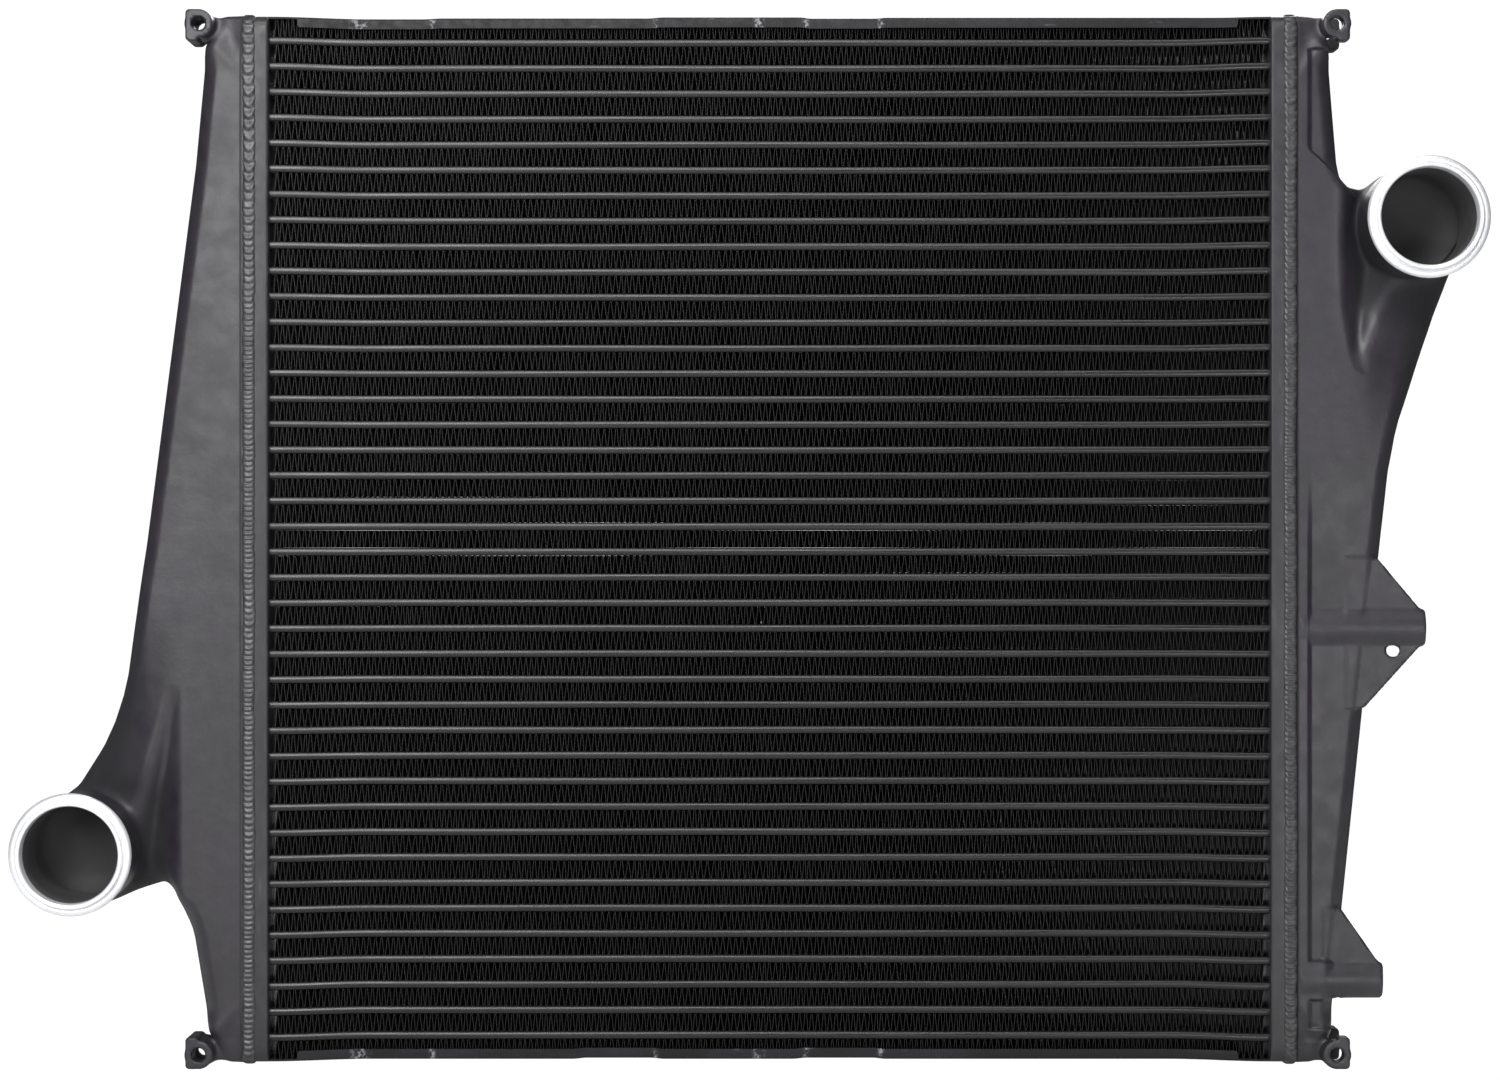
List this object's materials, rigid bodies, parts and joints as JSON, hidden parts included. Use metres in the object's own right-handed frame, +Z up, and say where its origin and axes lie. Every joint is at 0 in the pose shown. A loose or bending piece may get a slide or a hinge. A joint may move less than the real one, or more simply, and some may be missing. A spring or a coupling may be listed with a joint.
{
  "type": "charge air cooler",
  "caption": "Crossflow charge-air cooler for a heavy truck: a flat-tube and fin core between two welded cast tanks, each with an angled hose port, with bolt lugs at the corners.",
  "frame": {"origin": "centre of the rectangle of corner lug holes, in the plane of the lugs' front faces", "axes": "+X along the tubes, -Y out of the hose ports and the lugs' faces, +Z up"},
  "size_m": [1.286, 0.1304, 0.931],
  "materials": {
    "tank_paint": "satin charcoal paint over a cast surface; the turned port ends are bare",
    "header_paint": "satin charcoal paint",
    "weld_paint": "satin charcoal paint over a rippled weld",
    "plate_paint": "satin charcoal paint over folded sheet",
    "tube_paint": "satin charcoal paint",
    "fin_paint": "thin dark paint over folded sheet",
    "bare_aluminium": "bare aluminium, folded or turned"
  },
  "bodies": {
    "root": {"tank_left": "tank_paint", "tank_right": "tank_paint", "header_left": "header_paint", "header_right": "header_paint", "weld_left": "weld_paint", "weld_right": "weld_paint", "side_plate_top": "plate_paint", "side_plate_bottom": "plate_paint", "tube_01": "tube_paint", "tube_02": "tube_paint", "tube_03": "tube_paint", "tube_04": "tube_paint", "tube_05": "tube_paint", "tube_06": "tube_paint", "tube_07": "tube_paint", "tube_08": "tube_paint", "tube_09": "tube_paint", "tube_10": "tube_paint", "tube_11": "tube_paint", "tube_12": "tube_paint", "tube_13": "tube_paint", "tube_14": "tube_paint", "tube_15": "tube_paint", "tube_16": "tube_paint", "tube_17": "tube_paint", "tube_18": "tube_paint", "tube_19": "tube_paint", "tube_20": "tube_paint", "tube_21": "tube_paint", "tube_22": "tube_paint", "tube_23": "tube_paint", "tube_24": "tube_paint", "tube_25": "tube_paint", "tube_26": "tube_paint", "tube_27": "tube_paint", "tube_28": "tube_paint", "tube_29": "tube_paint", "tube_30": "tube_paint", "tube_31": "tube_paint", "tube_32": "tube_paint", "tube_33": "tube_paint", "tube_34": "tube_paint", "tube_35": "tube_paint", "tube_36": "tube_paint", "tube_37": "tube_paint", "tube_38": "tube_paint", "tube_39": "tube_paint", "tube_40": "tube_paint", "turbulators": "bare_aluminium", "fin_bank_01": "fin_paint", "fin_bank_02": "fin_paint", "fin_bank_03": "fin_paint", "fin_bank_04": "fin_paint", "fin_bank_05": "fin_paint", "fin_bank_06": "fin_paint", "fin_bank_07": "fin_paint"}
  },
  "joints": []
}
